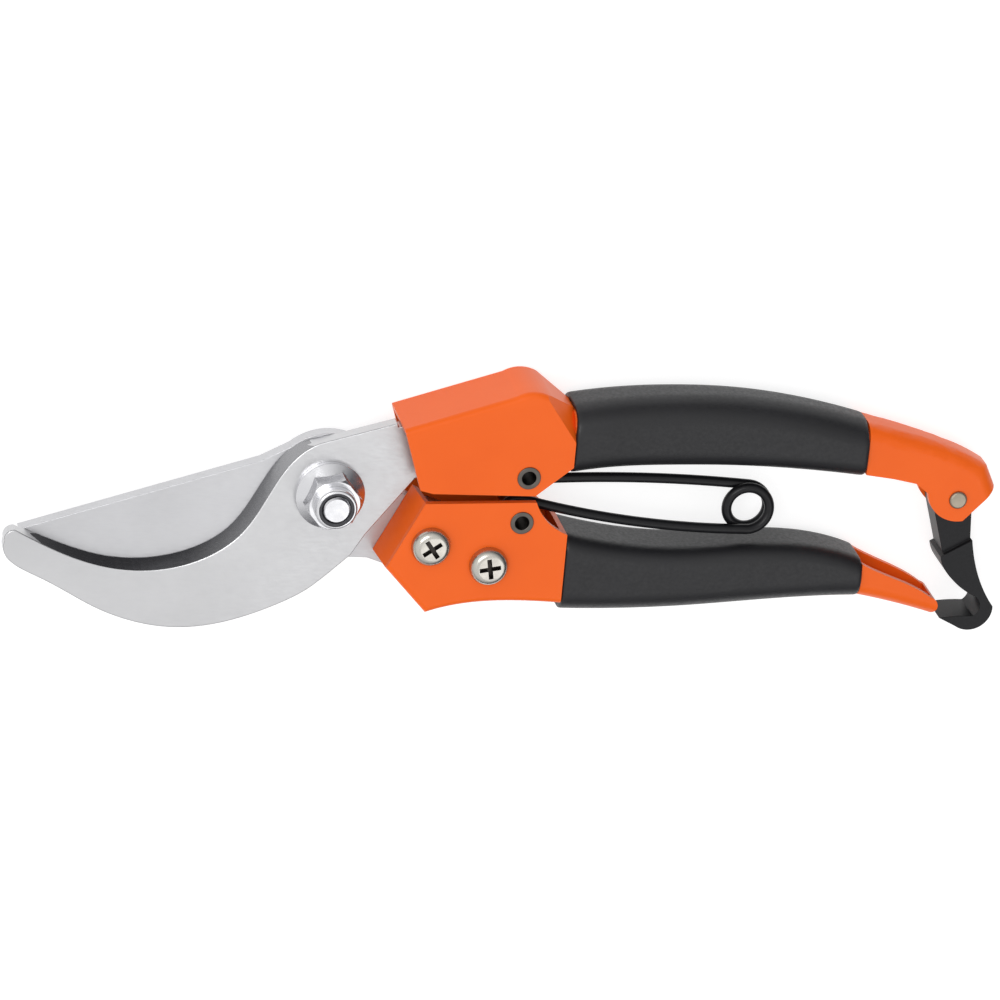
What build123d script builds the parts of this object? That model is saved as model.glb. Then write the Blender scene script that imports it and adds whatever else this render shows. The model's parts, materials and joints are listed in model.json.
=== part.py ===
from build123d import *
import os
from math import atan2, cos, degrees, radians

# Bypass pruner, closed, lying on its back flanges. Millimetres, +Z up.
# The plan is drawn about the pivot axis: X runs from the blades to the handle
# ends, Y from the lower handle to the upper one. Everything is moved at the end
# so that the origin is the centre of the bottom of the whole tool's box.

os.makedirs("parts", exist_ok=True)

# Where the pivot axis stands in the finished frame
PIVOT_X = -38.36
PIVOT_Y = 2.80

# Stack along Z
SHEET = 1.4                 # pressed steel of the handles
BEND_R = 1.2                # outside radius of its bends
BLADE_ROOM = 0.1            # between the lower handle and the blade it holds
FLAP_LEAN = (-1.15, 0.58)   # how far the end flap's foot stands out from its fold
COVER_WIDTH = 16.0          # outside width of both handle heads
MIDDLE_Z = COVER_WIDTH / 2
SHEAR_Z = 7.0               # plane where the two blades slide
BLADE_THICK = 3.0
HOOK_THICK = 3.2
SLIDE_GAP = 0.02            # play between sliding faces
BLADE_BACK = SHEAR_Z - SLIDE_GAP - BLADE_THICK
HOOK_FRONT = SHEAR_Z + HOOK_THICK
INNER_BACK = SHEET
INNER_FRONT = COVER_WIDTH - SHEET

# Pivot hardware, M6: a bolt from behind and a flange nut with a nylon insert
BOLT_R = 3.0
BOLT_FIT = 0.05
BOLT_HEAD_R = 7.0
BOLT_HEAD_T = 3.2
BOLT_HEAD_CHAMFER = 1.0
BOLT_END_Z = 19.0
BOLT_CHAMFER = 0.5
NUT_FLANGE_R = 7.1
NUT_RIM_T = 1.1             # flange at its rim
NUT_CONE_T = 1.4            # its sloping upper side
NUT_FLATS = 10.0
NUT_HEX_T = 6.2             # hexagon's top above the hook
NUT_CORNER_CHAMFER = 0.6
NUT_TURN = 10.0             # degrees
NUT_T = 8.6                 # collar's top above the hook
COLLAR_R = 4.3
COLLAR_ROUND = 0.6
INSERT_R = 3.6
INSERT_T = 2.0
INSERT_DROP = 0.2           # below the collar's top

# Blade screws, M4 pan heads
SCREW_AT = [(20.4, -8.9), (32.7, -13.2)]
SCREW_R = 2.0
SCREW_FIT = 0.15
SCREW_HEAD_R = 4.0
SCREW_HEAD_T = 2.3
CROSS_LENGTH = 4.4
CROSS_WIDTH = 0.95
CROSS_DEPTH = 1.3
SCREW_HEAD_ROUND = 1.61
SCREW_END_Z = 1.7
SLEEVE_R = 3.9

# Spring pins, spring wire and coil
UPPER_PIN = (39.5, 5.9)
LOWER_PIN = (38.9, -3.9)
PIN_R = 1.9
PIN_BORE_R = 1.45
PIN_RIM_R = 2.4
PIN_RIM_T = 0.3             # the pin's rim above the cover's face
PIN_END_Z = 0.3
PIN_FIT = 0.02
WIRE_R = 1.05
EYE_PLAY = 0.4              # between wire and pin
EYE_R = PIN_R + WIRE_R + EYE_PLAY
EYE_TURN = 315.0            # degrees of wire in an eye
COIL_TURN = 345.0           # and in each arm's own turn of the coil
UPPER_BOW = 300.0           # radius of each arm's slight bow
LOWER_BOW = 190.0
COIL_AT = (87.5, -2.9)
COIL_R = 4.4
UPPER_WIRE_Z = 8.6          # the arms lie one over the other, the lower one in front
LOWER_WIRE_Z = 11.4

# Handles under the grips and at the tails: half widths about the middle plane
CORE_HALF = (6.5, 5.2)      # at the head end and at the tail end of a grip
GRIP_HALF = (7.9, 6.6)
TAIL_HALF = (5.6, 5.0)      # at the grip and at the tip
LOWER_TAIL_HALF = (5.6, 4.3)
TAIL_BEND_R = 3.2           # outside radius of the bends behind the heads
GRIP_FROM = 48.6
UPPER_GRIP_TO = 111.0
LOWER_GRIP_TO = 112.5
GRIP_WALL = 1.3             # over the web
PALM_WALL = 2.4             # over the open side
UPPER_ROUNDS = (5.5, 4.0)   # a grip's long edges along the web and along the open side
LOWER_ROUNDS = (4.8, 3.4)

# Latch
LATCH_PIN = (131.4, -0.1)
LATCH_PIN_R = 1.5
LATCH_FIT = 0.06
LATCH_HEAD_R = 1.9
LATCH_HEAD_T = 0.7
LATCH_HEAD_ROUND = 0.5
SHANK_HALF = 3.4
HOOK_HALF = 4.4
LATCH_RELEASED = 19.0       # degrees from the latched place to the stored one

REACH = 400.0               # longer than anything here, for cutting prisms
OVERLAP = 0.1               # how far joined shapes reach into each other
LONG_EDGE = 1.0             # shorter edges aren't rounded
TOUCH = 0.01                # distance that counts as lying on a curve


def outline(*edges):
    """A face in the XY plane from edges that follow one another."""
    curve = Curve() + list(edges)
    return make_face(curve.edges())


def prism(face, low, high):
    """A flat face in the XY plane, made solid from height low to high."""
    return extrude(Pos(0, 0, low) * face, amount=high - low)


def disc(centre, radius, low, high):
    return prism(Pos(*centre) * Circle(radius), low, high)


def slab(stations):
    """All space between the back and front of a handle of changing width.
    stations holds (x, half width) from left to right."""
    front = [(x, MIDDLE_Z + half) for x, half in stations]
    back = [(x, MIDDLE_Z - half) for x, half in reversed(stations)]
    face = make_face(Polyline(*front, *back, close=True).edges())
    return extrude(Plane.XZ * face, amount=REACH / 2, both=True)


def rounded(solid, radius, keep):
    """Rounds the edges that keep(edge) picks."""
    picked = [edge for edge in solid.edges() if keep(edge)]
    return fillet(picked, radius) if picked else solid


def over(curve):
    """Picks a block's long edges that lie over a curve of the plan."""
    def keep(edge):
        middle = edge @ 0.5
        long_enough = abs((edge @ 0).X - (edge @ 1).X) > LONG_EDGE
        return long_enough and curve.distance_to(Vector(middle.X, middle.Y, 0)) < TOUCH
    return keep


# ---------------------------------------------------------------- blades

def hook_face(edge_points, tip):
    """The hook seen from the front, with its concave edge through edge_points."""
    belly = Spline(
        (-65.3, -10.4), (-58.0, -18.2), (-46.0, -25.0), (-33.5, -29.0), (-18.2, -27.8),
        (-6.3, -23.0), (5.4, -13.4),
        tangents=((-0.25, -1.0), (0.72, 0.69)),
    )
    neck = Polyline((5.4, -13.4), (8.0, -9.0), (14.8, 0.0), (17.4, 3.4), (26.0, 5.0),
                    (32.5, 8.5), (33.5, 19.5), (13.1, 14.5), (12.9, 15.3), (-2.7, 10.9))
    edge = Spline((-2.7, 10.9), *edge_points, tip)
    nose = ThreePointArc(tip, (-65.1, -8.9), (-65.3, -10.4))
    return outline(belly, neck, edge, nose)


def make_hook_blade():
    """Crescent counter blade; its concave edge is ground back towards the front."""
    tip = (-63.2, -7.9)
    at_shear = hook_face(
        [(-8.6, 8.3), (-13.4, 1.5), (-19.7, -8.5), (-30.4, -14.2), (-44.2, -14.7),
         (-56.0, -10.9)],
        tip,
    )
    at_front = hook_face(
        [(-7.4, 7.5), (-11.6, 1.0), (-17.8, -9.3), (-29.6, -15.9), (-44.6, -16.0),
         (-56.4, -11.6)],
        tip,
    )
    blade = loft([Pos(0, 0, SHEAR_Z) * at_shear, Pos(0, 0, HOOK_FRONT) * at_front], ruled=True)
    return blade - disc((0, 0), BOLT_R + BOLT_FIT / 2, 0, COVER_WIDTH)


def blade_face(edge_points):
    """The cutting blade seen from the front, its edge through edge_points."""
    tip = (-62.1, -9.0)
    heel = (-10.0, -13.5)
    spine = Polyline(tip, (-13.7, 5.9), (-7.8, 9.0))
    shoulder = ThreePointArc((-7.8, 9.0), (1.3, 11.8), (9.6, 7.0))
    tang = Polyline((9.6, 7.0), (13.5, -0.5), (19.0, -2.6), (30.0, -6.8), (37.0, -9.4),
                    (37.0, -17.6), (18.0, -18.6), (9.4, -15.4), (4.5, -15.2), heel)
    edge = Spline(heel, *edge_points, tip)
    return outline(spine, shoulder, tang, edge)


def make_cutting_blade():
    """Straight-backed cutting blade, ground on the back, sharp at the shear plane."""
    sharp = blade_face([(-20.0, -18.0), (-36.0, -20.0), (-51.0, -16.6)])
    ground = blade_face([(-19.4, -14.8), (-35.4, -16.4), (-50.0, -13.8)])
    front = BLADE_BACK + BLADE_THICK
    blade = loft([Pos(0, 0, BLADE_BACK) * ground, Pos(0, 0, front) * sharp], ruled=True)
    blade -= disc((0, 0), BOLT_R + BOLT_FIT, 0, COVER_WIDTH)
    for at in SCREW_AT:
        blade -= disc(at, SCREW_R + SCREW_FIT, 0, COVER_WIDTH)
    return blade


# ---------------------------------------------------------------- handles

# The long sides of the grips, head end first
UPPER_BACK = [(48.6, 20.1), (59.0, 21.5), (71.4, 22.1), (83.8, 21.7), (96.4, 20.0), (111.0, 16.5)]
UPPER_PALM = [(48.6, 5.8), (58.5, 7.0), (70.9, 7.3), (83.3, 7.1), (95.8, 6.3), (111.0, 4.6)]
LOWER_BACK = [(48.6, -24.5), (62.5, -24.7), (75.4, -24.3), (88.4, -23.4), (101.4, -22.6),
              (112.5, -22.4)]
LOWER_PALM = [(48.6, -7.3), (58.7, -9.5), (71.8, -10.8), (85.0, -10.4), (98.0, -10.3),
              (106.0, -11.5), (112.5, -13.6)]
GRIP_STATIONS = [(GRIP_FROM, GRIP_HALF[0]), (LOWER_GRIP_TO, GRIP_HALF[1])]
CORE_STATIONS = [(GRIP_FROM - 2, CORE_HALF[0]), (LOWER_GRIP_TO + 2, CORE_HALF[1])]


def thinner(stations, by):
    return [(x, half - by) for x, half in stations]


def curve_of(*edges):
    return Wire(Curve() + list(edges))


def shifted(points, step):
    return Spline(*[(x, y + step) for x, y in points])


def between(back, palm):
    """The face between a handle's web side and its open side."""
    ends = [Line(back @ 0, palm @ 0), Line(back @ 1, palm @ 1)]
    return make_face(back.edges() + palm.edges() + [ends[0].edge(), ends[1].edge()])


def hollow(back, step, open_side, stations, bend):
    """The space inside a channel: from its web's inner side out through the open side."""
    inner = Pos(*step) * back
    left = inner @ 0
    right = inner @ 1
    far = open_side * REACH / 4
    rim = Polyline(left, (left.X, far), (right.X, far), right)
    face = make_face(inner.edges() + rim.edges())
    space = prism(face, -REACH / 4, REACH / 4) & slab(thinner(stations, SHEET))
    return rounded(space, bend - SHEET, over(inner)) if bend > SHEET else space


def stretch(back, palm, stations):
    """The outer block of one stretch of a handle."""
    return prism(between(back, palm), -REACH / 4, REACH / 4) & slab(stations)


def core(back_points, palm_points, side):
    """Outer block and inner space of the channel inside a grip."""
    back = curve_of(shifted(back_points, -side * GRIP_WALL))
    palm = curve_of(shifted(palm_points, side * PALM_WALL))
    block = rounded(stretch(back, palm, CORE_STATIONS), TAIL_BEND_R, over(back))
    space = hollow(back, (0, -side * SHEET), -side, CORE_STATIONS, TAIL_BEND_R)
    return block, space


def make_upper_handle():
    """Pressed channel: head, core under the grip, tail with two ears for the latch."""
    head_back = curve_of(
        Line((13.3, 16.1), (35.6, 23.2)),
        ThreePointArc((35.6, 23.2), (39.9, 24.2), (43.6, 22.7)),
        Line((43.6, 22.7), (GRIP_FROM, 19.3)),
    )
    head_palm = curve_of(Polyline((17.4, 3.1), (20.0, 2.4), (41.2, 1.9), (GRIP_FROM, 8.1)))
    head_stations = [(0, MIDDLE_Z), (GRIP_FROM, MIDDLE_Z)]
    head = rounded(stretch(head_back, head_palm, head_stations), BEND_R, over(head_back))
    head_space = hollow(head_back, (0, -SHEET), -1, head_stations, BEND_R)
    head_space &= Pos(GRIP_FROM - SHEET - REACH / 2, 0, 0) * Box(REACH, REACH, REACH)
    for shoulder in shoulder_planes():
        head = split(head, bisect_by=shoulder, keep=Keep.BOTTOM)
        head_space = split(head_space, bisect_by=shoulder.offset(-SHEET), keep=Keep.BOTTOM)

    middle, middle_space = core(UPPER_BACK, UPPER_PALM, 1)

    tail_back = curve_of(
        Spline((UPPER_GRIP_TO, 16.1), (118.8, 14.1), (126.4, 11.7), (132.8, 9.2), (137.6, 6.6)),
        Line((137.6, 6.6), (139.6, 2.4)),
    )
    tail_palm = curve_of(
        Polyline((UPPER_GRIP_TO, 5.6), (117.0, 4.6), (122.1, 3.4), (124.9, 1.2)),
        ThreePointArc((124.9, 1.2), (127.4, -3.4), (133.0, -4.9)),
        Line((133.0, -4.9), (139.3, 1.9)),
    )
    tail_stations = [(UPPER_GRIP_TO, TAIL_HALF[0]), (122.0, TAIL_HALF[1]), (150.0, TAIL_HALF[1])]
    tail = rounded(stretch(tail_back, tail_palm, tail_stations), TAIL_BEND_R, over(tail_back))
    tail_space = hollow(tail_back, (-1.1, -1.3), -1, tail_stations, TAIL_BEND_R)

    handle = head + middle + tail - head_space - middle_space - tail_space
    handle -= disc(UPPER_PIN, PIN_R + PIN_FIT, -1, COVER_WIDTH + 1)
    handle -= disc(LATCH_PIN, LATCH_PIN_R + PIN_FIT, -1, COVER_WIDTH + 1)
    return handle


def shoulder_planes():
    """Planes that slope the head's shoulder down to the grip, front and back."""
    ridge = Vector(41.5, 23.7, MIDDLE_Z)
    palm = Vector(GRIP_FROM, 13.5, MIDDLE_Z)
    web = Vector(GRIP_FROM, 19.4, 2.6)
    planes = []
    for side in (1, -1):
        points = [Vector(p.X, p.Y, MIDDLE_Z + side * p.Z) for p in (ridge, palm, web)]
        out = (points[1] - points[0]).cross(points[2] - points[0])
        out = out if out.Z * side > 0 else out * -1
        planes.append(Plane(origin=points[0], z_dir=out))
    return planes


def make_lower_handle():
    """Pressed channel: head with an end flap, core under the grip, plain tail."""
    head_back = curve_of(
        Line((11.6, -14.0), (20.6, -24.0)),
        Spline((20.6, -24.0), (27.0, -22.3), (35.0, -21.5), (GRIP_FROM, -22.0)),
    )
    head_palm = curve_of(
        Line((18.7, 0.2), (41.6, 0.5)),
        Spline((41.6, 0.5), (43.6, -3.0), (GRIP_FROM, -6.6)),
    )
    head_stations = [(0, MIDDLE_Z), (GRIP_FROM, MIDDLE_Z)]
    head = rounded(stretch(head_back, head_palm, head_stations), BEND_R, over(head_back))
    head_space = hollow(head_back, (0.6, SHEET), 1, head_stations, BEND_R)
    head_space &= Pos(GRIP_FROM - SHEET - REACH / 2, 0, 0) * Box(REACH, REACH, REACH)
    way_t = SHEAR_Z - INNER_BACK + BLADE_ROOM
    blade_way = Pos(14, -15, (SHEAR_Z + INNER_BACK) / 2) * Box(12, 12, way_t)

    middle, middle_space = core(LOWER_BACK, LOWER_PALM, -1)

    tail_back = curve_of(Spline((LOWER_GRIP_TO, -22.1), (121.4, -24.4), (129.0, -26.8)))
    tail_palm = curve_of(
        Spline((LOWER_GRIP_TO, -14.4), (118.0, -17.1), (124.3, -19.9), (128.4, -22.4)),
        ThreePointArc((128.4, -22.4), (130.2, -24.9), (129.0, -26.8)),
    )
    tail_stations = [(LOWER_GRIP_TO, LOWER_TAIL_HALF[0]), (131.0, LOWER_TAIL_HALF[1])]
    tail = rounded(stretch(tail_back, tail_palm, tail_stations), TAIL_BEND_R, over(tail_back))
    tail_space = hollow(tail_back, (-0.3, SHEET), 1, tail_stations, TAIL_BEND_R)

    # The end flap hangs from the front flange's slanted end and leans out over the blade
    flap_face = outline(Polyline((18.7, 0.2), (11.6, -14.0), (12.85, -14.6), (19.95, -0.4),
                                 close=True))
    foot = Pos(*FLAP_LEAN, SHEAR_Z + BLADE_ROOM) * flap_face
    flap = loft([foot, Pos(0, 0, INNER_FRONT + OVERLAP) * flap_face], ruled=True)

    handle = head + middle + tail - head_space - middle_space - tail_space - blade_way
    handle += flap
    handle -= disc(LOWER_PIN, PIN_R + PIN_FIT, -1, COVER_WIDTH + 1)
    for at in SCREW_AT:
        handle -= disc(at, SCREW_R + SCREW_FIT, INNER_FRONT - 1, COVER_WIDTH + 1)
    return handle


def make_grip(back_points, palm_points, side, rounds):
    """Soft sleeve over a handle's core, with rounded long edges."""
    back = curve_of(Spline(*back_points))
    palm = curve_of(Spline(*palm_points))
    sleeve = stretch(back, palm, GRIP_STATIONS)
    sleeve = rounded(sleeve, rounds[0], over(back))
    sleeve = rounded(sleeve, rounds[1], over(palm))
    return sleeve - core(back_points, palm_points, side)[0]


# ---------------------------------------------------------------- inside the heads

def make_hook_packing(low, high):
    """A packing plate that fills the upper head beside the hook's tang."""
    face = outline(Polyline((19.5, 6.0), (26.0, 6.0), (31.5, 9.0), (32.5, 19.6), (19.5, 15.6),
                            close=True))
    return prism(face, low, high)


def make_blade_nut_plate():
    """Tapped plate under the blade's tang that both blade screws pull on."""
    face = outline(Polyline((15.5, -6.5), (22.0, -4.0), (37.0, -10.0), (37.0, -17.4),
                            (31.0, -17.4), (17.0, -14.5), close=True))
    plate = prism(face, INNER_BACK, BLADE_BACK)
    for at in SCREW_AT:
        plate -= disc(at, SCREW_R + PIN_FIT, 0, COVER_WIDTH)
    return plate


def make_blade_sleeve(at):
    """Spacer sleeve between the front flange and the blade."""
    low = BLADE_BACK + BLADE_THICK
    return disc(at, SLEEVE_R, low, INNER_FRONT) - disc(at, SCREW_R + SCREW_FIT, 0, COVER_WIDTH)


def make_blade_screw(at, turned):
    """Pan head cross screw from the front flange to the nut plate."""
    head = disc((0, 0), SCREW_HEAD_R, COVER_WIDTH, COVER_WIDTH + SCREW_HEAD_T)
    head = fillet(head.edges().group_by(Axis.Z)[-1], SCREW_HEAD_ROUND)
    arm = Box(CROSS_LENGTH, CROSS_WIDTH, 2 * CROSS_DEPTH)
    top = Pos(0, 0, COVER_WIDTH + SCREW_HEAD_T)
    head -= top * Rot(0, 0, turned) * arm
    head -= top * Rot(0, 0, turned + 90) * arm
    shank = disc((0, 0), SCREW_R, SCREW_END_Z, COVER_WIDTH)
    return Pos(*at) * (head + shank)


def make_spring_pin(at):
    """Hollow pin across a head, rolled over to a rim at the front."""
    pin = disc(at, PIN_R, PIN_END_Z, COVER_WIDTH)
    pin += disc(at, PIN_RIM_R, COVER_WIDTH, COVER_WIDTH + PIN_RIM_T)
    return pin - disc(at, PIN_BORE_R, -1, COVER_WIDTH + 2)


# ---------------------------------------------------------------- pivot

def make_pivot_bolt():
    top = BLADE_BACK - SLIDE_GAP
    head = disc((0, 0), BOLT_HEAD_R, top - BOLT_HEAD_T, top)
    head = chamfer(head.edges().group_by(Axis.Z)[0], BOLT_HEAD_CHAMFER)
    shank = disc((0, 0), BOLT_R, top, BOLT_END_Z)
    return head + chamfer(shank.edges().group_by(Axis.Z)[-1], BOLT_CHAMFER)


def make_pivot_nut():
    """Flange nut: flat rim, cone, hexagon with turned corners, and a collar for the insert."""
    low = HOOK_FRONT
    hex_top = low + NUT_HEX_T
    nut = disc((0, 0), NUT_FLANGE_R, low, low + NUT_RIM_T)
    cone = Cone(NUT_FLANGE_R, NUT_FLATS / 2, NUT_CONE_T)
    nut += Pos(0, 0, low + NUT_RIM_T + NUT_CONE_T / 2) * cone

    hexagon = prism(RegularPolygon(NUT_FLATS / 2, 6, major_radius=False), low, hex_top)
    turned = disc((0, 0), NUT_FLATS / 2 / cos(radians(30)), low, hex_top)
    turned = chamfer(turned.edges().group_by(Axis.Z)[-1], NUT_CORNER_CHAMFER)
    nut += Rot(0, 0, NUT_TURN) * (hexagon & turned)

    collar = disc((0, 0), COLLAR_R, low, low + NUT_T)
    nut += fillet(collar.edges().group_by(Axis.Z)[-1], COLLAR_ROUND)
    nut -= disc((0, 0), INSERT_R, low + NUT_T - INSERT_DROP - INSERT_T, COVER_WIDTH * 2)
    return nut - disc((0, 0), BOLT_R + PIN_FIT, 0, COVER_WIDTH * 2)


def make_nut_insert():
    """Nylon ring in the nut's collar, which grips the bolt's thread."""
    top = HOOK_FRONT + NUT_T - INSERT_DROP
    return disc((0, 0), INSERT_R, top - INSERT_T, top) - disc((0, 0), BOLT_R, 0, top + 1)


# ---------------------------------------------------------------- spring

def bearing(point, about):
    """Direction of point from about, in degrees from +X."""
    return degrees(atan2(point.Y - about.Y, point.X - about.X))


def wire_half(eye, height, bow, above):
    """Eye, arm and one coil turn of the spring, as one bent wire at one height.
    above is 1 where the arm passes over the coil's top, -1 under it; the arm's
    bow is an arc that touches the eye's circle and the coil's."""
    eye_at = Vector(*eye)
    coil_at = Vector(*COIL_AT)
    span = coil_at - eye_at
    far = bow + EYE_R
    near = bow - COIL_R
    along = (far ** 2 - near ** 2 + span.length ** 2) / (2 * span.length)
    aside = (far ** 2 - along ** 2) ** 0.5
    unit = span.normalized()
    normal = Vector(-unit.Y, unit.X)
    centre = eye_at + unit * along - normal * aside * above
    leave = eye_at + (centre - eye_at).normalized() * EYE_R
    meet = coil_at + (coil_at - centre).normalized() * COIL_R

    eye_end = bearing(leave, eye_at)
    arm_from = bearing(leave, centre)
    arm_turn = bearing(meet, centre) - arm_from
    coil_from = bearing(meet, coil_at)
    path = curve_of(
        CenterArc(eye_at, EYE_R, eye_end - above * EYE_TURN, above * EYE_TURN),
        CenterArc(centre, bow, arm_from, arm_turn),
        CenterArc(coil_at, COIL_R, coil_from, -above * COIL_TURN),
    )
    path = Pos(0, 0, height) * path
    section = Plane(origin=path @ 0, z_dir=path % 0) * Circle(WIRE_R)
    return sweep(section, path=path)


# ---------------------------------------------------------------- latch

def make_latch():
    """Moulded catch on the upper tail. Drawn hooked on the lower tail, then swung clear."""
    shank = outline(
        Line((126.5, 0.4), (126.0, -12.5)),
        Line((126.0, -12.5), (132.2, -11.3)),
        Line((132.2, -11.3), (134.7, -1.6)),
        ThreePointArc((134.7, -1.6), (131.7, 3.6), (126.5, 0.4)),
    )
    body = outline(
        Polyline((125.3, -11.9), (132.6, -10.5)),
        Spline((132.6, -10.5), (132.1, -15.0), (132.3, -21.0), (133.6, -26.7)),
        ThreePointArc((133.6, -26.7), (129.8, -30.3), (124.9, -28.4)),
        Line((124.9, -28.4), (122.0, -25.4)),
        Spline((122.0, -25.4), (125.5, -26.2), (129.1, -27.4)),
        ThreePointArc((129.1, -27.4), (131.0, -25.3), (130.1, -22.9)),
        Spline((130.1, -22.9), (127.8, -20.0), (126.4, -17.4), (125.4, -14.6), (125.3, -11.9)),
    )
    latch = prism(shank, MIDDLE_Z - SHANK_HALF, MIDDLE_Z + SHANK_HALF)
    latch += prism(body, MIDDLE_Z - HOOK_HALF, MIDDLE_Z + HOOK_HALF)
    latch -= disc(LATCH_PIN, LATCH_PIN_R + LATCH_FIT, 0, COVER_WIDTH)
    pin = Vector(*LATCH_PIN)
    return latch.rotate(Axis(pin, (0, 0, 1)), LATCH_RELEASED)


def make_latch_rivet():
    """Rivet through both ears of the upper tail."""
    half = TAIL_HALF[1]
    rivet = disc((0, 0), LATCH_PIN_R, MIDDLE_Z - half, MIDDLE_Z + half)
    for side in (-1, 1):
        head = Pos(0, 0, MIDDLE_Z + side * (half + LATCH_HEAD_T / 2))
        rivet += head * Cylinder(LATCH_HEAD_R, LATCH_HEAD_T)
    rivet = fillet(rivet.edges().group_by(Axis.Z)[-1], LATCH_HEAD_ROUND)
    return Pos(*LATCH_PIN) * rivet


PARTS = {
    "hook_blade": make_hook_blade(),
    "hook_packing_front": make_hook_packing(HOOK_FRONT, INNER_FRONT),
    "hook_packing_rear": make_hook_packing(INNER_BACK, SHEAR_Z),
    "upper_handle": make_upper_handle(),
    "upper_grip": make_grip(UPPER_BACK, UPPER_PALM, 1, UPPER_ROUNDS),
    "upper_spring_pin": make_spring_pin(UPPER_PIN),
    "pivot_bolt": make_pivot_bolt(),
    "pivot_nut": make_pivot_nut(),
    "nut_insert": make_nut_insert(),
    "latch_rivet": make_latch_rivet(),
    "latch": make_latch(),
    "cutting_blade": make_cutting_blade(),
    "blade_nut_plate": make_blade_nut_plate(),
    "blade_sleeve_1": make_blade_sleeve(SCREW_AT[0]),
    "blade_sleeve_2": make_blade_sleeve(SCREW_AT[1]),
    "blade_screw_1": make_blade_screw(SCREW_AT[0], 35.0),
    "blade_screw_2": make_blade_screw(SCREW_AT[1], 10.0),
    "lower_handle": make_lower_handle(),
    "lower_grip": make_grip(LOWER_BACK, LOWER_PALM, -1, LOWER_ROUNDS),
    "lower_spring_pin": make_spring_pin(LOWER_PIN),
    "spring_upper_arm": wire_half(UPPER_PIN, UPPER_WIRE_Z, UPPER_BOW, 1),
    "spring_lower_arm": wire_half(LOWER_PIN, LOWER_WIRE_Z, LOWER_BOW, -1),
}

for name, part in PARTS.items():
    export_step(Pos(PIVOT_X, PIVOT_Y, 0) * part, f"parts/{name}.step")

box = Compound(children=[Pos(PIVOT_X, PIVOT_Y, 0) * part for part in PARTS.values()]).bounding_box()
print("whole tool:", box.min, box.max)
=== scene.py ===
import json
import math

import bmesh
import bpy
from mathutils import Matrix, Vector


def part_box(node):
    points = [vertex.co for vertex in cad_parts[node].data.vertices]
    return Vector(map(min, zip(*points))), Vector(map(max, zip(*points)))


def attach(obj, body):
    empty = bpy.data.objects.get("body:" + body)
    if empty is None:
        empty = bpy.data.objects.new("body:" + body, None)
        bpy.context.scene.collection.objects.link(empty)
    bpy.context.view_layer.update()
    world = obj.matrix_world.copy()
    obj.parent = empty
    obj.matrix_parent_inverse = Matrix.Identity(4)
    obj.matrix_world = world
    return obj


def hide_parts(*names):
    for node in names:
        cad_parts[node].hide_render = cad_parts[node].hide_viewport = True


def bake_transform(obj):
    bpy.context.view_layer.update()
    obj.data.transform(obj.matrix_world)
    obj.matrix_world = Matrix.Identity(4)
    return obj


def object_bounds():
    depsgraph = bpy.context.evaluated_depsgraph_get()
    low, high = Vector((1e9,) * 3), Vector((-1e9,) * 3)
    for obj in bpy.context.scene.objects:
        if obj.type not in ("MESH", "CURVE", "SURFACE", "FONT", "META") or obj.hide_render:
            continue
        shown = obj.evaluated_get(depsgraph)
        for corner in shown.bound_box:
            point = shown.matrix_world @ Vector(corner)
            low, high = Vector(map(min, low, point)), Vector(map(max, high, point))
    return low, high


# Bypass pruner, closed, lying on its back. Metres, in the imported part's frame.
# Every place on the tool comes from the frame: the joints' pivots and the nodes' boxes.

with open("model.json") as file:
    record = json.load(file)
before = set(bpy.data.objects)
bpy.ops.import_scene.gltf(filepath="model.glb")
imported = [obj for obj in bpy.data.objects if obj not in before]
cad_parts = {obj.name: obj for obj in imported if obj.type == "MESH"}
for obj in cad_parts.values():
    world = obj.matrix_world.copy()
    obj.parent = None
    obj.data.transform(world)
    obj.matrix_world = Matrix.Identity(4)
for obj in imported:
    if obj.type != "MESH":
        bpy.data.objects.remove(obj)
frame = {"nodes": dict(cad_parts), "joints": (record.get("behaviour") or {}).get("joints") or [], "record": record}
cad_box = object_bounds()

MM = 0.001
FULL_TURN = 2 * math.pi
JOINTS = {joint["name"]: joint for joint in frame["joints"]}


def pivot_of(joint):
    return Vector(JOINTS[joint]["pos_m"])


def centre_of(node):
    low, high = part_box(node)
    return (low + high) / 2


PIVOT = pivot_of("pivot")
UPPER_PIN = pivot_of("spring_eye")
COIL = pivot_of("spring_coil_twist")
LOWER_PIN = centre_of("lower_spring_pin")


# ---------------------------------------------------------------- materials

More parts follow.
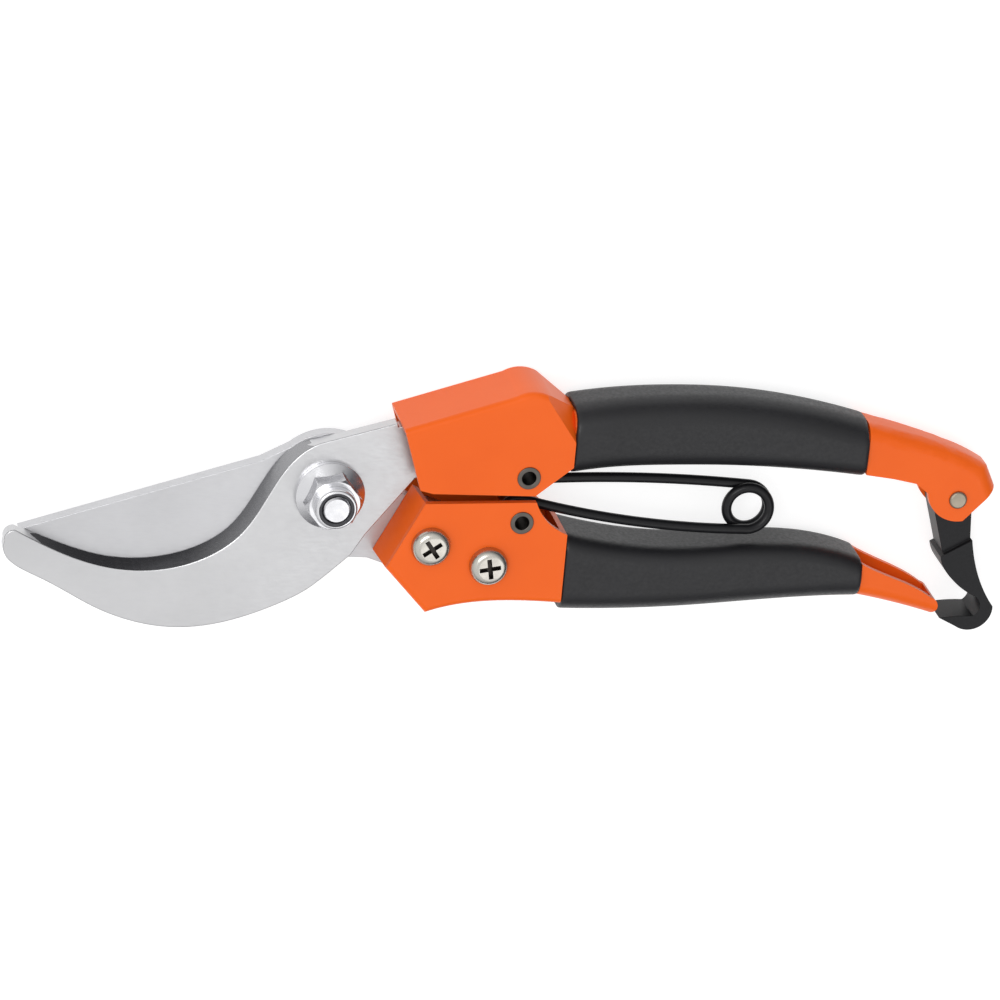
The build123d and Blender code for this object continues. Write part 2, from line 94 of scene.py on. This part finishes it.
class Nodes:
    """A short way to build a material's node tree around its main shader."""

    def __init__(self, name, color, metallic=0.0, roughness=0.5):
        self.material = bpy.data.materials.new(name)
        self.material.use_nodes = True
        self.tree = self.material.node_tree
        self.shader = self.tree.nodes["Principled BSDF"]
        self.set(**{"Base Color": (*color, 1.0), "Metallic": metallic, "Roughness": roughness})

    def set(self, **values):
        for socket, value in values.items():
            self.shader.inputs[socket.replace("_", " ")].default_value = value
        return self

    def add(self, kind, **settings):
        node = self.tree.nodes.new(kind)
        for key, value in settings.items():
            if hasattr(node, key):
                setattr(node, key, value)
            else:
                node.inputs[key.replace("_", " ")].default_value = value
        return node

    def link(self, source, target):
        self.tree.links.new(source, target)

    def noise(self, scale, stretch=(1, 1, 1), detail=4.0, rough=0.55):
        """Noise in object space, its cells stretched along the axes."""
        where = self.add("ShaderNodeTexCoord")
        place = self.add("ShaderNodeMapping")
        place.inputs["Scale"].default_value = stretch
        texture = self.add("ShaderNodeTexNoise", Scale=scale, Detail=detail, Roughness=rough)
        self.link(where.outputs["Object"], place.inputs["Vector"])
        self.link(place.outputs["Vector"], texture.inputs["Vector"])
        return texture.outputs["Fac"]

    def ramp(self, value, low, high, at=(0.3, 0.7)):
        """value spread between two colours or two greys."""
        node = self.add("ShaderNodeValToRGB")
        for stop, place, color in zip(node.color_ramp.elements, at, (low, high)):
            stop.position = place
            stop.color = (*color, 1.0) if hasattr(color, "__len__") else (color,) * 3 + (1.0,)
        self.link(value, node.inputs["Fac"])
        return node.outputs["Color"]

    def color_from(self, color):
        self.link(color, self.shader.inputs["Base Color"])

    def gloss_from(self, value, smooth, rough):
        """Roughness that varies between two values."""
        self.link(self.ramp(value, smooth, rough), self.shader.inputs["Roughness"])

    def bump(self, *layers):
        """Bumps added one over another, each as (height, strength, depth in metres)."""
        normal = None
        for height, strength, depth in layers:
            node = self.add("ShaderNodeBump", Strength=strength, Distance=depth)
            self.link(height, node.inputs["Height"])
            if normal:
                self.link(normal, node.inputs["Normal"])
            normal = node.outputs["Normal"]
        self.link(normal, self.shader.inputs["Normal"])
        return self


# Noise scales are in cells per metre.
GRINDING = 2600.0
STEEL_CLOUD = 45.0
PLATING_CLOUD = 420.0
ENAMEL_CLOUD = 60.0
ORANGE_PEEL = 900.0
VINYL_CLOUD = 70.0
VINYL_SKIN = 1500.0
ALONG_X = (0.25, 1, 1)


def scaled(color, factor):
    return tuple(factor * c for c in color)


def ground_steel(name, color, roughness, grain=(1, 1, 1)):
    """Satin steel: fine grinding lines, a cloudy tone and uneven gloss."""
    made = Nodes(name, color, metallic=1.0, roughness=roughness)
    cloud = made.noise(STEEL_CLOUD, detail=5.0)
    lines = made.noise(GRINDING, grain, detail=2.0)
    made.color_from(made.ramp(cloud, scaled(color, 0.90), color))
    made.gloss_from(lines, roughness - 0.05, roughness + 0.07)
    return made.bump((lines, 0.16, 0.03 * MM), (cloud, 0.05, 0.2 * MM)).material


# Where the painted reflection on the hook's bevel is darkest and lightest, along X in its own space.
BEVEL_PAINTED_DARK_X = PIVOT.x - 27.64 * MM
BEVEL_PAINTED_LIGHT_X = PIVOT.x - 7.64 * MM


def painted_reflection_steel(name, tip, heel):
    """Steel of the hook's ground bevel, painted dark as a painted reflection, darker towards its tip."""
    made = Nodes(name, heel, metallic=1.0, roughness=0.24)
    where = made.add("ShaderNodeTexCoord")
    split = made.add("ShaderNodeSeparateXYZ")
    along = made.add("ShaderNodeMapRange", From_Min=BEVEL_PAINTED_DARK_X, From_Max=BEVEL_PAINTED_LIGHT_X)
    made.link(where.outputs["Object"], split.inputs["Vector"])
    made.link(split.outputs["X"], along.inputs["Value"])
    made.color_from(made.ramp(along.outputs["Result"], tip, heel, (0.0, 1.0)))
    lines = made.noise(GRINDING, ALONG_X, detail=2.0)
    made.gloss_from(lines, 0.20, 0.32)
    return made.bump((lines, 0.16, 0.03 * MM)).material


def plated(name, color, roughness):
    """Bright plating with the faint unevenness of a formed part."""
    made = Nodes(name, color, metallic=1.0, roughness=roughness)
    cloud = made.noise(PLATING_CLOUD, detail=3.0)
    made.gloss_from(cloud, roughness - 0.05, roughness + 0.1)
    return made.bump((cloud, 0.12, 0.05 * MM)).material


def enamel(name, color, deep):
    """Enamel with a thin clear coat and faint orange peel."""
    made = Nodes(name, color, roughness=0.38)
    made.set(Specular_IOR_Level=0.16, Coat_Weight=0.08, Coat_Roughness=0.10)
    cloud = made.noise(ENAMEL_CLOUD, detail=3.0)
    peel = made.noise(ORANGE_PEEL, detail=2.0)
    made.color_from(made.ramp(cloud, deep, color))
    return made.bump((peel, 0.10, 0.06 * MM)).material


def soft_vinyl(name, color):
    """Smooth dipped vinyl, satin, its tone and gloss a little uneven."""
    made = Nodes(name, color, roughness=0.42)
    made.set(Specular_IOR_Level=0.42)
    cloud = made.noise(VINYL_CLOUD, detail=5.0)
    skin = made.noise(VINYL_SKIN, detail=3.0)
    made.color_from(made.ramp(cloud, color, scaled(color, 1.35)))
    made.gloss_from(skin, 0.36, 0.52)
    return made.bump((skin, 0.14, 0.08 * MM), (cloud, 0.08, 0.4 * MM)).material


def moulded(name, color, roughness, grain):
    """Moulded plastic or lacquer with a fine even grain."""
    made = Nodes(name, color, roughness=roughness)
    made.set(Specular_IOR_Level=0.24)
    skin = made.noise(grain, detail=3.0)
    made.color_from(made.ramp(skin, color, scaled(color, 1.5)))
    return made.bump((skin, 0.15, 0.06 * MM)).material


HOOK_STEEL = ground_steel("hook_steel", (0.60, 0.60, 0.61), 0.36, ALONG_X)
# The hook's bevel steel is painted dark: a painted reflection, darker towards the tip.
BEVEL_PAINTED_REFLECTION = painted_reflection_steel("hook_bevel_painted_reflection", (0.085, 0.085, 0.09), (0.30, 0.30, 0.31))
BLADE_STEEL = ground_steel("blade_steel", (0.59, 0.59, 0.605), 0.40, (0.2, 1, 1))
PLAIN_STEEL = ground_steel("plain_steel", (0.42, 0.42, 0.43), 0.45)
ORANGE = enamel("orange_paint", (0.87, 0.130, 0.011), (0.84, 0.120, 0.009))
GRIP = soft_vinyl("grip_vinyl", (0.009, 0.009, 0.0105))
NICKEL = plated("screw_plating", (0.52, 0.50, 0.455), 0.22)
# Dark plating inside the screws' cross recesses: painted shade.
RECESS_PAINTED_SHADE = plated("screw_recess_painted_shade", (0.05, 0.045, 0.04), 0.40)
RIVET_STEEL = plated("rivet_steel", (0.32, 0.28, 0.22), 0.34)
PIN_STEEL = plated("pin_steel", (0.11, 0.10, 0.09), 0.32)
ZINC = plated("pivot_plating", (0.68, 0.68, 0.70), 0.18)
NYLON = moulded("nylon", (0.045, 0.045, 0.050), 0.45, 1500.0)
SPRING_BLACK = moulded("spring_steel", (0.006, 0.006, 0.007), 0.30, 900.0)
LATCH_BLACK = moulded("latch_plastic", (0.007, 0.007, 0.008), 0.42, 1800.0)

MATERIAL_OF_SLOT = {
    "hook_steel": HOOK_STEEL,
    "blade_steel": BLADE_STEEL,
    "orange_paint": ORANGE,
    "grip_vinyl": GRIP,
    "plain_steel": PLAIN_STEEL,
    "screw_plating": NICKEL,
    "pin_steel": PIN_STEEL,
    "pivot_plating": ZINC,
    "nylon": NYLON,
    "spring_steel": SPRING_BLACK,
    "latch_plastic": LATCH_BLACK,
}

MATERIAL_OF_NODE = {"latch_rivet": RIVET_STEEL}


# ---------------------------------------------------------------- making pieces

def body_of(node):
    bodies = frame["record"]["behaviour"]["bodies"]
    return next(body for body, nodes in bodies.items() if node in nodes)


def slot_of(node):
    rows = frame["record"]["subparts"]
    return next(row["material_slot"] for row in rows if row["node"] == node)


def material_of(node):
    return MATERIAL_OF_NODE.get(node) or MATERIAL_OF_SLOT[slot_of(node)]


def finish_piece(piece, node, *others):
    """Gives a new piece its place in the part: what it stands for and is made of."""
    piece.data.materials.clear()
    piece.data.materials.append(material_of(node))
    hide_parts(node, *others)
    return piece


def new_piece(name, mesh):
    piece = bpy.data.objects.new(name, mesh)
    bpy.context.scene.collection.objects.link(piece)
    return piece


def mesh_from(work, name):
    """A mesh from a bmesh, which is freed."""
    mesh = bpy.data.meshes.new(name)
    work.to_mesh(mesh)
    work.free()
    return mesh


def apply_modifiers(piece):
    shown = piece.evaluated_get(bpy.context.evaluated_depsgraph_get())
    mesh = bpy.data.meshes.new_from_object(shown)
    piece.modifiers.clear()
    piece.data = mesh


def smooth_all(mesh):
    mesh.polygons.foreach_set("use_smooth", [True] * len(mesh.polygons))


def shade(mesh, degrees):
    """Smooth shading, broken at edges sharper than this."""
    smooth_all(mesh)
    mesh.set_sharp_from_angle(angle=math.radians(degrees))


# ---------------------------------------------------------------- steel and plastic

SHARPEST = 28.0                  # degrees; edges that turn further are broken
SAME_PLACE = 0.002 * MM
SAME_PLANE = math.radians(0.6)
EDGE_SEGMENTS = 3
NORMAL_WEIGHT = 60

EDGE_BREAK = {
    "upper_handle": 0.22 * MM,
    "lower_handle": 0.22 * MM,
    "hook_blade": 0.20 * MM,
    "cutting_blade": 0.12 * MM,
    "latch": 0.45 * MM,
    "latch_rivet": 0.10 * MM,
    "pivot_nut": 0.12 * MM,
    "nut_insert": 0.10 * MM,
    "upper_spring_pin": 0.12 * MM,
    "lower_spring_pin": 0.12 * MM,
}

# The hook's ground faces get the dark painted reflection.
PAINTED_REFLECTION_OF = {"hook_blade": BEVEL_PAINTED_REFLECTION}

# A ground face's normal has a height between these; such a face gets the bevel's painted reflection.
SLANT_LOW = 0.15
SLANT_HIGH = 0.70


def softened(node, width, ground=None):
    """A CAD node's own shape with its edges broken, as a new piece in its place."""
    work = bmesh.new()
    work.from_mesh(frame["nodes"][node].data)
    bmesh.ops.remove_doubles(work, verts=work.verts, dist=SAME_PLACE)
    bmesh.ops.dissolve_limit(work, angle_limit=SAME_PLANE, verts=work.verts, edges=work.edges)
    piece = new_piece(node + "_finished", mesh_from(work, node + "_shape"))
    bevel = piece.modifiers.new("edge", "BEVEL")
    bevel.width = width
    bevel.segments = EDGE_SEGMENTS
    bevel.limit_method = "ANGLE"
    bevel.angle_limit = math.radians(SHARPEST)
    bevel.use_clamp_overlap = True
    bevel.harden_normals = False
    weighted = piece.modifiers.new("normals", "WEIGHTED_NORMAL")
    weighted.keep_sharp = True
    weighted.weight = NORMAL_WEIGHT
    shade(piece.data, SHARPEST)
    apply_modifiers(piece)
    smooth_all(piece.data)
    finish_piece(piece, node)
    # The material for a ground face is a painted reflection.
    if ground:
        paint_bevel_reflection(piece, ground)
    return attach(piece, body_of(node))


def paint_bevel_reflection(piece, material):
    """Gives a slanted ground face a dark steel as a painted reflection, and leaves the broken edge above it
    bright.
    """
    piece.data.materials.append(material)
    for face in piece.data.polygons:
        if SLANT_LOW < face.normal.z < SLANT_HIGH:
            face.material_index = 1


for node, width in EDGE_BREAK.items():
    softened(node, width, ground=PAINTED_REFLECTION_OF.get(node))


# ---------------------------------------------------------------- blade screws

# Where the painted shade inside a cross recess goes.
RECESS_R = 2.4 * MM
RECESS_DEPTH = 1.45 * MM
RECESS_LIP = 0.9 * MM
WALL_SLANT = 0.3                 # a wall's normal has less height than this


def recessed_screw(node):
    """A pan head screw whose cross recess is dull and painted dark inside, as painted shade."""
    piece = new_piece(node + "_finished", frame["nodes"][node].data.copy())
    finish_piece(piece, node)
    piece.data.materials.append(RECESS_PAINTED_SHADE)
    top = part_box(node)[1].z
    axis = centre_of(node)
    for face in piece.data.polygons:
        inside = (face.center - axis).xy.length < RECESS_R and face.center.z > top - RECESS_DEPTH
        wall = abs(face.normal.z) < WALL_SLANT or face.center.z < top - RECESS_LIP
        # The recess floor and walls get the painted shade.
        if inside and wall:
            face.material_index = 1
    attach(piece, body_of(node))


recessed_screw("blade_screw_1")
recessed_screw("blade_screw_2")


# ---------------------------------------------------------------- grips

SLEEVE_VOXEL = 0.42 * MM
ROUNDING_PASSES = 10


def soft_sleeve(node):
    """A grip as dipped vinyl: the CAD sleeve with every edge rounded over."""
    piece = new_piece(node + "_sleeve", frame["nodes"][node].data.copy())
    remesh = piece.modifiers.new("even", "REMESH")
    remesh.mode = "VOXEL"
    remesh.voxel_size = SLEEVE_VOXEL
    smooth = piece.modifiers.new("round", "SMOOTH")
    smooth.factor = 0.5
    smooth.iterations = ROUNDING_PASSES
    apply_modifiers(piece)
    smooth_all(piece.data)
    finish_piece(piece, node)
    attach(piece, body_of(node))


soft_sleeve("upper_grip")
soft_sleeve("lower_grip")


# ---------------------------------------------------------------- spring

WIRE_R = 1.05 * MM
WIRE_SIDES = 20
WIRE_CREASE = 50.0               # degrees
EYE_R = 3.35 * MM
COIL_R = 4.4 * MM
EYE_TURN = math.radians(315)
UPPER_BOW = 300 * MM
LOWER_BOW = 190 * MM
WIRE_STEP = 1.4 * MM             # the arms' height above and below the coil's middle
ARC_STEP = math.radians(7)
ARM_STEPS = 24


def bearing(point, about):
    return math.atan2(point.y - about.y, point.x - about.x)


def arc(centre, radius, start, turn, z_from, z_to, step=ARC_STEP):
    """Points on an arc that may climb or fall as it turns."""
    count = max(2, math.ceil(abs(turn) / step))
    middle = Vector((centre.x, centre.y, 0))
    points = []
    for i in range(count + 1):
        t = i / count
        angle = start + turn * t
        flat = Vector((math.cos(angle), math.sin(angle), 0)) * radius
        points.append(middle + flat + Vector((0, 0, z_from + (z_to - z_from) * t)))
    return points


def arm_to_coil(eye, bow, above, height):
    """Eye and arm of one end of the spring, from the wire's end to where it meets the coil.

    The arm is an arc of radius bow that touches both the eye and the coil. above is 1
    for the upper arm and -1 for the lower one.
    """
    eye = Vector((eye.x, eye.y, 0))
    coil = Vector((COIL.x, COIL.y, 0))
    span = coil - eye
    far = bow + EYE_R
    near = bow - COIL_R
    along = (far ** 2 - near ** 2 + span.length ** 2) / (2 * span.length)
    aside = math.sqrt(far ** 2 - along ** 2)
    unit = span.normalized()
    centre = eye + unit * along - Vector((-unit.y, unit.x, 0)) * aside * above
    leave = eye + (centre - eye).normalized() * EYE_R
    meet = coil + (coil - centre).normalized() * COIL_R
    eye_end = bearing(leave, eye)
    arm_from = bearing(leave, centre)
    arm_turn = bearing(meet, centre) - arm_from
    points = arc(eye, EYE_R, eye_end - above * EYE_TURN, above * EYE_TURN, height, height)
    points += arc(centre, bow, arm_from, arm_turn, height, height, abs(arm_turn) / ARM_STEPS)[1:]
    return points, bearing(meet, coil)


def skin(work, rings):
    """Closes a stack of equal rings into one solid, flat at both ends."""
    sides = len(rings[0])
    for one, two in zip(rings, rings[1:]):
        for k in range(sides):
            work.faces.new((one[k], one[(k + 1) % sides], two[(k + 1) % sides], two[k]))
    work.faces.new(list(reversed(rings[0])))
    work.faces.new(rings[-1])
    bmesh.ops.recalc_face_normals(work, faces=work.faces)


def tube(name, points, radius, sides=WIRE_SIDES):
    """A round wire along points, cut flat at its ends."""
    work = bmesh.new()
    rings = []
    side = Vector((0, 0, 1))
    for i, point in enumerate(points):
        ahead = (points[min(i + 1, len(points) - 1)] - points[max(i - 1, 0)]).normalized()
        side = (side - ahead * side.dot(ahead)).normalized()
        across = ahead.cross(side)
        ring = []
        for k in range(sides):
            angle = FULL_TURN * k / sides
            out = side * math.cos(angle) + across * math.sin(angle)
            ring.append(work.verts.new(point + out * radius))
        rings.append(ring)
    skin(work, rings)
    return new_piece(name, mesh_from(work, name))


def make_spring():
    """One bent wire: eye, arm, a coil of between one and two turns, arm, eye."""
    upper_z = COIL.z - WIRE_STEP
    lower_z = COIL.z + WIRE_STEP
    upper, coil_from = arm_to_coil(UPPER_PIN, UPPER_BOW, 1, upper_z)
    lower, coil_to = arm_to_coil(LOWER_PIN, LOWER_BOW, -1, lower_z)
    turn = (coil_to - coil_from) % FULL_TURN - FULL_TURN - FULL_TURN
    coil = arc(COIL, COIL_R, coil_from, turn, upper_z, lower_z)
    points = upper + coil[1:-1] + list(reversed(lower))
    wire = tube("spring_wire", points, WIRE_R)
    shade(wire.data, WIRE_CREASE)
    finish_piece(wire, "spring_upper_arm", "spring_lower_arm")
    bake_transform(wire)


make_spring()


# ---------------------------------------------------------------- pivot bolt

THREAD_R = 3.0 * MM
THREAD_DEPTH = 0.5 * MM
THREAD_PITCH = 1.0 * MM
THREAD_RINGS = 84
BOLT_CHAMFER = 0.55 * MM
BOLT_SIDES = 96
BOLT_CREASE = 32.0               # degrees
BOLT_HEAD_R = 7.0 * MM

# The head's outline from behind, as shares of its radius and of its thickness.
HEAD_OUTLINE = ((0.80, 0.0), (0.92, 0.05), (0.975, 0.16), (1.0, 0.36), (1.0, 0.94), (0.99, 1.0))


def lathe(rings, sides=BOLT_SIDES):
    """A closed turned piece about Z through the pivot; each ring is (z, radius at angle)."""
    work = bmesh.new()
    made = []
    for z, radius_at in rings:
        ring = []
        for k in range(sides):
            angle = FULL_TURN * k / sides
            radius = radius_at(angle)
            x = PIVOT.x + radius * math.cos(angle)
            y = PIVOT.y + radius * math.sin(angle)
            ring.append(work.verts.new((x, y, z)))
        made.append(ring)
    skin(work, made)
    return work


def plain(radius):
    """A ring of one radius all round."""
    return lambda angle: radius


def threaded(z, end):
    """A ring of the thread, which narrows at the chamfered end."""
    def radius_at(angle):
        phase = (z / THREAD_PITCH - angle / FULL_TURN) % 1.0
        crest = THREAD_R - THREAD_DEPTH * abs(2 * phase - 1)
        return min(crest, THREAD_R - BOLT_CHAMFER + end - z)

    return radius_at


def make_pivot_bolt():
    """Low round head behind, threaded shank in front, its end chamfered."""
    low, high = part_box("pivot_bolt")
    head_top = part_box("cutting_blade")[0].z
    shank_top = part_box("hook_blade")[1].z
    head_t = head_top - low.z
    rings = [(low.z + head_t * rise, plain(BOLT_HEAD_R * share)) for share, rise in HEAD_OUTLINE]
    rings.append((head_top, plain(THREAD_R)))
    rings.append((shank_top, plain(THREAD_R)))
    for i in range(1, THREAD_RINGS + 1):
        z = shank_top + (high.z - shank_top) * i / THREAD_RINGS
        rings.append((z, threaded(z, high.z)))
    mesh = mesh_from(lathe(rings), "pivot_bolt_threaded")
    bolt = new_piece("pivot_bolt_threaded", mesh)
    shade(mesh, BOLT_CREASE)
    finish_piece(bolt, "pivot_bolt")
    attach(bolt, body_of("pivot_bolt"))


make_pivot_bolt()

# The CAD nodes that no piece replaces stay as they are, in their own materials.
for node, part in frame["nodes"].items():
    part.data.materials.clear()
    part.data.materials.append(material_of(node))


# ---------------------------------------------------------------- camera and stage

RIGHT = Vector((0.9762, 0.0852, 0.2018)).normalized()
UP = Vector((0.0, 0.9211, -0.3896)).normalized()
BACK = RIGHT.cross(UP)
VIEW_WIDTH = 0.202
LENS = 200.0
SENSOR = 36.0
PIVOT_RIGHT = -0.17320 * VIEW_WIDTH     # the pivot's place in the view, from its middle
PIVOT_UP = 0.01220 * VIEW_WIDTH

FLOOR_SIZE = 8.0
FLOOR_GREY = (0.42, 0.42, 0.42)
FLOOR_GLOW = 0.74

# Soft light from above and the left, by how far a direction leans towards the axis.
SKY_AXIS = (-0.40, 0.05, 0.915)
SKY_DARK_AT = 0.10
SKY_DARK = (0.10, 0.10, 0.11, 1)
SKY_LIGHT_AT = 0.72
SKY_LIGHT = (1.0, 1.0, 1.0, 1)

# Each lamp's name, place, size and power in watts.
LAMPS = (
    ("key", (-0.35, 0.30, 1.0), (0.5, 0.4), 3.0),
    ("fill", (0.5, -0.4, 0.9), (0.6, 0.6), 1.0),
)


def add_camera():
    data = bpy.data.cameras.new("camera")
    data.lens = LENS
    data.sensor_width = SENSOR
    camera = bpy.data.objects.new("camera", data)
    bpy.context.scene.collection.objects.link(camera)
    target = PIVOT - RIGHT * PIVOT_RIGHT - UP * PIVOT_UP
    distance = VIEW_WIDTH * LENS / SENSOR
    turn = Matrix((RIGHT, UP, BACK)).transposed().to_4x4()
    camera.matrix_world = Matrix.Translation(target + BACK * distance) @ turn
    bpy.context.scene.camera = camera


def add_floor():
    """A wide floor under the tool, which gives off a little light of its own."""
    bpy.ops.mesh.primitive_plane_add(size=FLOOR_SIZE, location=(0, 0, cad_box[0][2]))
    floor = bpy.context.object
    floor.name = "floor"
    made = Nodes("floor", FLOOR_GREY, roughness=0.9)
    made.set(Emission_Color=(1, 1, 1, 1), Emission_Strength=FLOOR_GLOW)
    floor.data.materials.append(made.material)


def add_world():
    """Soft light from above and the left, darker towards the horizon and the right."""
    world = bpy.data.worlds.new("studio")
    world.use_nodes = True
    tree = world.node_tree
    where = tree.nodes.new("ShaderNodeTexCoord")
    lean = tree.nodes.new("ShaderNodeVectorMath")
    lean.operation = "DOT_PRODUCT"
    lean.inputs[1].default_value = SKY_AXIS
    ramp = tree.nodes.new("ShaderNodeValToRGB")
    tree.links.new(where.outputs["Generated"], lean.inputs[0])
    tree.links.new(lean.outputs["Value"], ramp.inputs["Fac"])
    tree.links.new(ramp.outputs["Color"], tree.nodes["Background"].inputs["Color"])
    tree.nodes["Background"].inputs["Strength"].default_value = 1.0
    dark, light = ramp.color_ramp.elements
    dark.position = SKY_DARK_AT
    dark.color = SKY_DARK
    light.position = SKY_LIGHT_AT
    light.color = SKY_LIGHT
    bpy.context.scene.world = world


def add_lamp(name, place, size, power):
    """A rectangular lamp that faces the origin."""
    data = bpy.data.lights.new(name, "AREA")
    data.shape = "RECTANGLE"
    data.size, data.size_y = size
    data.energy = power
    lamp = bpy.data.objects.new(name, data)
    bpy.context.scene.collection.objects.link(lamp)
    lamp.location = place
    lamp.rotation_euler = (-Vector(place)).to_track_quat("-Z", "Y").to_euler()


add_camera()
add_floor()
add_world()
for lamp in LAMPS:
    add_lamp(*lamp)
bpy.context.scene.view_settings.view_transform = "Standard"
